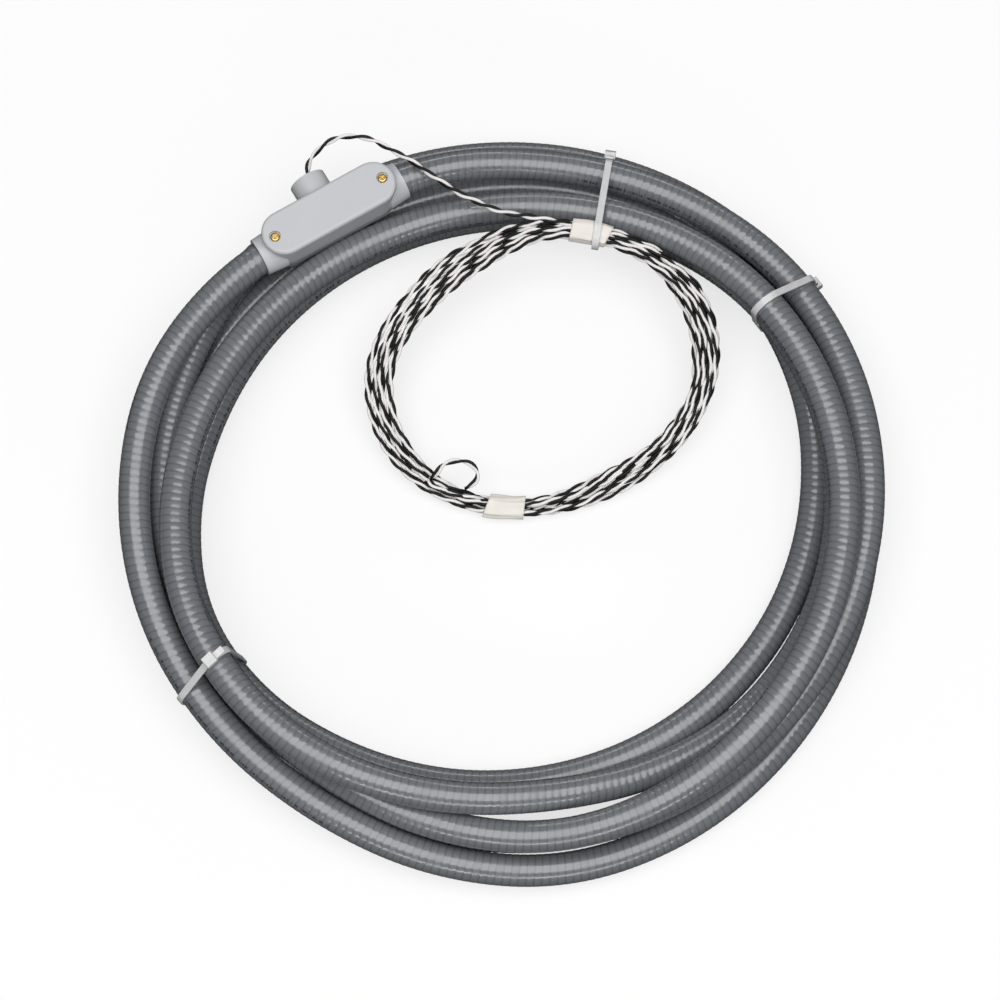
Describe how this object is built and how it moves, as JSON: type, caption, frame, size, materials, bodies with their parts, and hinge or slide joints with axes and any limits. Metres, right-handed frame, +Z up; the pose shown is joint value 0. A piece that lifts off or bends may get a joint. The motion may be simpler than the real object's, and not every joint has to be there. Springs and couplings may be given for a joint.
{
  "type": "preformed inductive vehicle detection loop",
  "caption": "Coiled closed loop of ribbed flexible conduit joined by a tee conduit body, with a twisted-pair lead-in wound in an oval coil.",
  "frame": {"origin": "middle of the coiled conduit's footprint, on the surface that it lies on", "axes": "+Z up through the coil, +Y towards the side that the tee lies on, +X to the right of it"},
  "size_m": [0.5098, 0.5208, 0.0768],
  "materials": {
    "conduit_pvc": "semi-gloss ribbed PVC",
    "winding_wire": "insulated wire, hidden",
    "tee_pvc": "moulded PVC, satin",
    "gasket_foam": "matt foam",
    "brass_screw": "bright, slightly worn",
    "nylon_tie": "natural nylon, translucent",
    "splice_sleeve": "shrink sleeve",
    "wire_black": "extruded insulation",
    "wire_white": "extruded insulation",
    "lead_pair": "black and white twisted pair",
    "masking_tape": "creped paper tape, matt"
  },
  "bodies": {
    "loop": {"conduit": "conduit_pvc", "loop_winding": "winding_wire", "tee_body": "tee_pvc", "threaded_inserts": "brass_screw", "splice_black": "splice_sleeve", "splice_white": "splice_sleeve", "lead_core_black": "wire_black", "lead_core_white": "wire_white", "lead_coil": "lead_pair", "lead_tail": "lead_pair", "lead_end": "lead_pair", "tape_band_top": "masking_tape", "tape_band_bottom": "masking_tape", "cable_tie_top": "nylon_tie", "cable_tie_right": "nylon_tie", "cable_tie_left": "nylon_tie"},
    "cover": {"tee_cover": "tee_pvc", "cover_gasket": "gasket_foam"},
    "screw_left": {"cover_screw_left": "brass_screw"},
    "screw_right": {"cover_screw_right": "brass_screw"}
  },
  "joints": [
    {"name": "cover_lift", "type": "slide", "parent": "loop", "child": "cover", "axis": [0, 0, 1], "range_m": [0, 0.04]},
    {"name": "screw_left_turn", "type": "hinge", "parent": "cover", "child": "screw_left", "pos_m": [-0.15233, 0.16479, 0.0731], "axis": [0, 0, 1], "continuous": true},
    {"name": "screw_right_turn", "type": "hinge", "parent": "cover", "child": "screw_right", "pos_m": [-0.08097, 0.20717, 0.0731], "axis": [0, 0, 1], "continuous": true}
  ]
}
